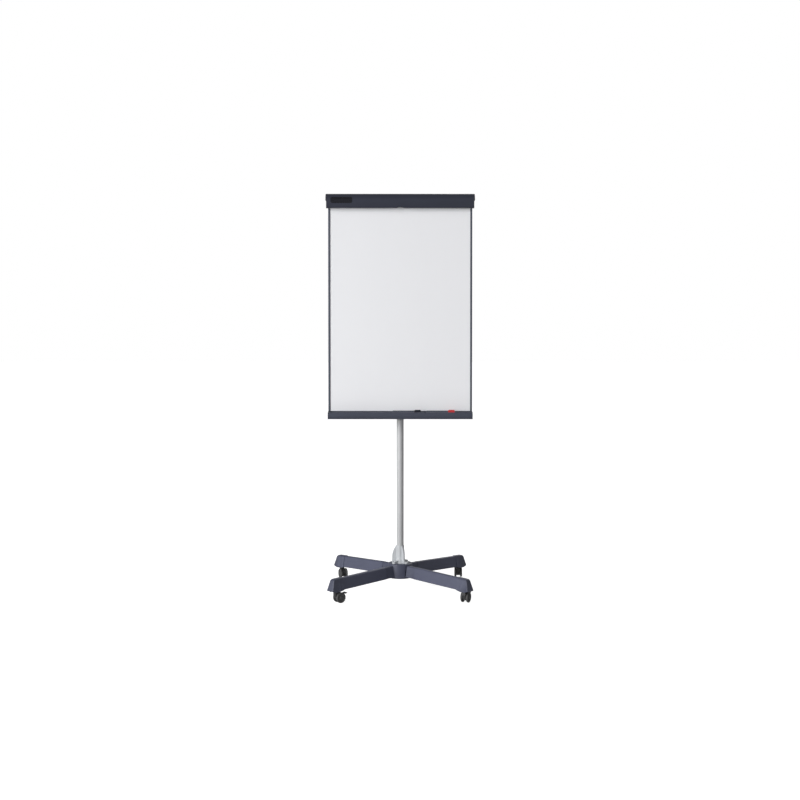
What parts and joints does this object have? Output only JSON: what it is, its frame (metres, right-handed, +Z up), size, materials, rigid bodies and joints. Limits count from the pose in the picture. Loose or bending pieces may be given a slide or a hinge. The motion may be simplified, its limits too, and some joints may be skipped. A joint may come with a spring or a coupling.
{
  "type": "mobile flipchart easel",
  "caption": "Mobile flipchart easel: magnetic dry-wipe board with a hinged paper clamp bar and pen tray on a telescopic pole and a wheeled cross base.",
  "frame": {"origin": "on the floor, on the axis of the pole, at the middle of the cross base", "axes": "+Z up, the white face looks along -Y, +X to the viewer's right when facing the board"},
  "size_m": [0.723, 0.6857, 1.939],
  "materials": {
    "hub_paint": "satin slate powder coat on cast aluminium",
    "arm_paint": "satin slate powder coat on steel tube",
    "cap_plastic": "slate moulded plastic",
    "socket_plastic": "black moulded plastic",
    "zinc_steel": "bright zinc plated",
    "boot_plastic": "light grey moulded plastic",
    "pole_paint": "silver powder coat",
    "bush_plastic": "black moulded plastic",
    "collar_plastic": "slate moulded plastic",
    "knob_plastic": "black moulded plastic",
    "caster_plastic": "black moulded plastic",
    "wheel_tread": "dark grey soft tread on a moulded wheel",
    "brake_plastic": "black moulded plastic",
    "inner_steel": "polished steel tube",
    "core_board": "fibreboard core with a grey back foil",
    "face_enamel": "white dry-wipe lacquer on steel sheet",
    "rail_anodised": "slate anodised",
    "bracket_paint": "slate powder coat",
    "clamp_rail_anodised": "slate anodised",
    "pin_steel": "bright",
    "spring_steel": "drawn wire",
    "tray_anodised": "slate anodised",
    "tray_cap_plastic": "slate moulded plastic",
    "bar_anodised": "dark slate anodised",
    "bar_cap_plastic": "dark slate moulded plastic",
    "badge_plate": "blank satin plate",
    "grip_rubber": "ribbed black rubber",
    "peg_plastic": "black moulded plastic",
    "marker_body_dark": "dark barrel with a felt nib",
    "marker_cap_black": "black",
    "marker_body_red": "dark barrel with a felt nib",
    "marker_cap_red": "red"
  },
  "bodies": {
    "base": {"base_hub": "hub_paint", "base_arm_front_left": "arm_paint", "arm_end_cap_front_left": "cap_plastic", "base_arm_front_right": "arm_paint", "arm_end_cap_front_right": "cap_plastic", "base_arm_rear_right": "arm_paint", "arm_end_cap_rear_right": "cap_plastic", "base_arm_rear_left": "arm_paint", "arm_end_cap_rear_left": "cap_plastic", "caster_sockets": "socket_plastic", "base_screws": "zinc_steel", "pole_boot": "boot_plastic", "pole_tube": "pole_paint", "pole_foot_plug": "bush_plastic", "pole_bolt": "zinc_steel", "pole_guide_bush": "bush_plastic", "height_collar": "collar_plastic"},
    "height_knob": {"height_knob": "knob_plastic", "height_clamp_screw": "zinc_steel"},
    "board": {"inner_tube": "inner_steel", "board_panel": "core_board", "board_face": "face_enamel", "board_rail_left": "rail_anodised", "board_rail_right": "rail_anodised", "top_bracket": "bracket_paint", "lower_guide": "bracket_paint", "bracket_screws": "zinc_steel", "clamp_rail": "clamp_rail_anodised", "hinge_pin": "pin_steel", "clamp_springs": "spring_steel", "pen_tray": "tray_anodised", "tray_end_caps": "tray_cap_plastic"},
    "clamp_bar": {"clamp_bar": "bar_anodised", "clamp_bar_caps": "bar_cap_plastic", "clamp_badge": "badge_plate", "clamp_grip_strip": "grip_rubber"},
    "pad_peg_left": {"pad_peg_left": "peg_plastic"},
    "pad_peg_right": {"pad_peg_right": "peg_plastic"},
    "marker_black": {"marker_black": "marker_body_dark"},
    "marker_black_cap": {"marker_black_cap": "marker_cap_black"},
    "marker_red": {"marker_red": "marker_body_red"},
    "marker_red_cap": {"marker_red_cap": "marker_cap_red"},
    "caster_front_left": {"caster_housing_front_left": "caster_plastic", "caster_pins_front_left": "zinc_steel"},
    "caster_wheel_front_left_a": {"caster_wheel_front_left_a": "wheel_tread"},
    "caster_wheel_front_left_b": {"caster_wheel_front_left_b": "wheel_tread"},
    "caster_brake_front_left": {"caster_brake_front_left": "brake_plastic"},
    "caster_front_right": {"caster_housing_front_right": "caster_plastic", "caster_pins_front_right": "zinc_steel"},
    "caster_wheel_front_right_a": {"caster_wheel_front_right_a": "wheel_tread"},
    "caster_wheel_front_right_b": {"caster_wheel_front_right_b": "wheel_tread"},
    "caster_brake_front_right": {"caster_brake_front_right": "brake_plastic"},
    "caster_rear_right": {"caster_housing_rear_right": "caster_plastic", "caster_pins_rear_right": "zinc_steel"},
    "caster_wheel_rear_right_a": {"caster_wheel_rear_right_a": "wheel_tread"},
    "caster_wheel_rear_right_b": {"caster_wheel_rear_right_b": "wheel_tread"},
    "caster_rear_left": {"caster_housing_rear_left": "caster_plastic", "caster_pins_rear_left": "zinc_steel"},
    "caster_wheel_rear_left_a": {"caster_wheel_rear_left_a": "wheel_tread"},
    "caster_wheel_rear_left_b": {"caster_wheel_rear_left_b": "wheel_tread"}
  },
  "joints": [
    {"name": "height_slide", "type": "slide", "parent": "base", "child": "board", "axis": [0, 0, 1], "range_m": [-0.35, 0.05]},
    {"name": "height_knob_turn", "type": "hinge", "parent": "base", "child": "height_knob", "pos_m": [0, 0.036, 1.4005], "axis": [0, 1, 0], "range_deg": [0, 360]},
    {"name": "clamp_bar_hinge", "type": "hinge", "parent": "board", "child": "clamp_bar", "pos_m": [0, -0.0416, 1.9285], "axis": [-1, 0, 0], "range_deg": [0, 80], "stiffness_Nm_per_rad": 1.5, "springref_deg": -17.19},
    {"name": "pad_peg_left_slide", "type": "slide", "parent": "board", "child": "pad_peg_left", "axis": [1, 0, 0], "range_m": [-0.19, 0.12]},
    {"name": "pad_peg_right_slide", "type": "slide", "parent": "board", "child": "pad_peg_right", "axis": [1, 0, 0], "range_m": [-0.12, 0.19]},
    {"name": "caster_swivel_front_left", "type": "hinge", "parent": "base", "child": "caster_front_left", "pos_m": [-0.30052, -0.30052, 0.07], "axis": [0, 0, 1], "continuous": true},
    {"name": "wheel_roll_front_left_a", "type": "hinge", "parent": "caster_front_left", "child": "caster_wheel_front_left_a", "pos_m": [-0.28578, -0.2902, 0.025], "axis": [-0.5736, 0.8192, 0], "continuous": true},
    {"name": "wheel_roll_front_left_b", "type": "hinge", "parent": "caster_front_left", "child": "caster_wheel_front_left_b", "pos_m": [-0.28578, -0.2902, 0.025], "axis": [-0.5736, 0.8192, 0], "continuous": true},
    {"name": "brake_press_front_left", "type": "hinge", "parent": "caster_front_left", "child": "caster_brake_front_left", "pos_m": [-0.27349, -0.28159, 0.04], "axis": [-0.5736, 0.8192, 0], "range_deg": [0, 12]},
    {"name": "caster_swivel_front_right", "type": "hinge", "parent": "base", "child": "caster_front_right", "pos_m": [0.30052, -0.30052, 0.07], "axis": [0, 0, 1], "continuous": true},
    {"name": "wheel_roll_front_right_a", "type": "hinge", "parent": "caster_front_right", "child": "caster_wheel_front_right_a", "pos_m": [0.30813, -0.28421, 0.025], "axis": [-0.9063, 0.4226, 0], "continuous": true},
    {"name": "wheel_roll_front_right_b", "type": "hinge", "parent": "caster_front_right", "child": "caster_wheel_front_right_b", "pos_m": [0.30813, -0.28421, 0.025], "axis": [-0.9063, 0.4226, 0], "continuous": true},
    {"name": "brake_press_front_right", "type": "hinge", "parent": "caster_front_right", "child": "caster_brake_front_right", "pos_m": [0.31447, -0.27061, 0.04], "axis": [-0.9063, 0.4226, 0], "range_deg": [0, 12]},
    {"name": "caster_swivel_rear_right", "type": "hinge", "parent": "base", "child": "caster_rear_right", "pos_m": [0.30052, 0.30052, 0.07], "axis": [0, 0, 1], "continuous": true},
    {"name": "wheel_roll_rear_right_a", "type": "hinge", "parent": "caster_rear_right", "child": "caster_wheel_rear_right_a", "pos_m": [0.30052, 0.31852, 0.025], "axis": [-1, 0, 0], "continuous": true},
    {"name": "wheel_roll_rear_right_b", "type": "hinge", "parent": "caster_rear_right", "child": "caster_wheel_rear_right_b", "pos_m": [0.30052, 0.31852, 0.025], "axis": [-1, 0, 0], "continuous": true},
    {"name": "caster_swivel_rear_left", "type": "hinge", "parent": "base", "child": "caster_rear_left", "pos_m": [-0.30052, 0.30052, 0.07], "axis": [0, 0, 1], "continuous": true},
    {"name": "wheel_roll_rear_left_a", "type": "hinge", "parent": "caster_rear_left", "child": "caster_wheel_rear_left_a", "pos_m": [-0.29436, 0.28361, 0.025], "axis": [0.9397, 0.342, 0], "continuous": true},
    {"name": "wheel_roll_rear_left_b", "type": "hinge", "parent": "caster_rear_left", "child": "caster_wheel_rear_left_b", "pos_m": [-0.29436, 0.28361, 0.025], "axis": [0.9397, 0.342, 0], "continuous": true},
    {"name": "marker_black_lift", "type": "slide", "parent": "board", "child": "marker_black", "axis": [0, 0, 1], "range_m": [0, 0.06]},
    {"name": "marker_black_cap_pull", "type": "slide", "parent": "marker_black", "child": "marker_black_cap", "axis": [1, 0, 0], "range_m": [0, 0.024]},
    {"name": "marker_red_lift", "type": "slide", "parent": "board", "child": "marker_red", "axis": [0, 0, 1], "range_m": [0, 0.06]},
    {"name": "marker_red_cap_pull", "type": "slide", "parent": "marker_red", "child": "marker_red_cap", "axis": [1, 0, 0], "range_m": [0, 0.024]}
  ]
}
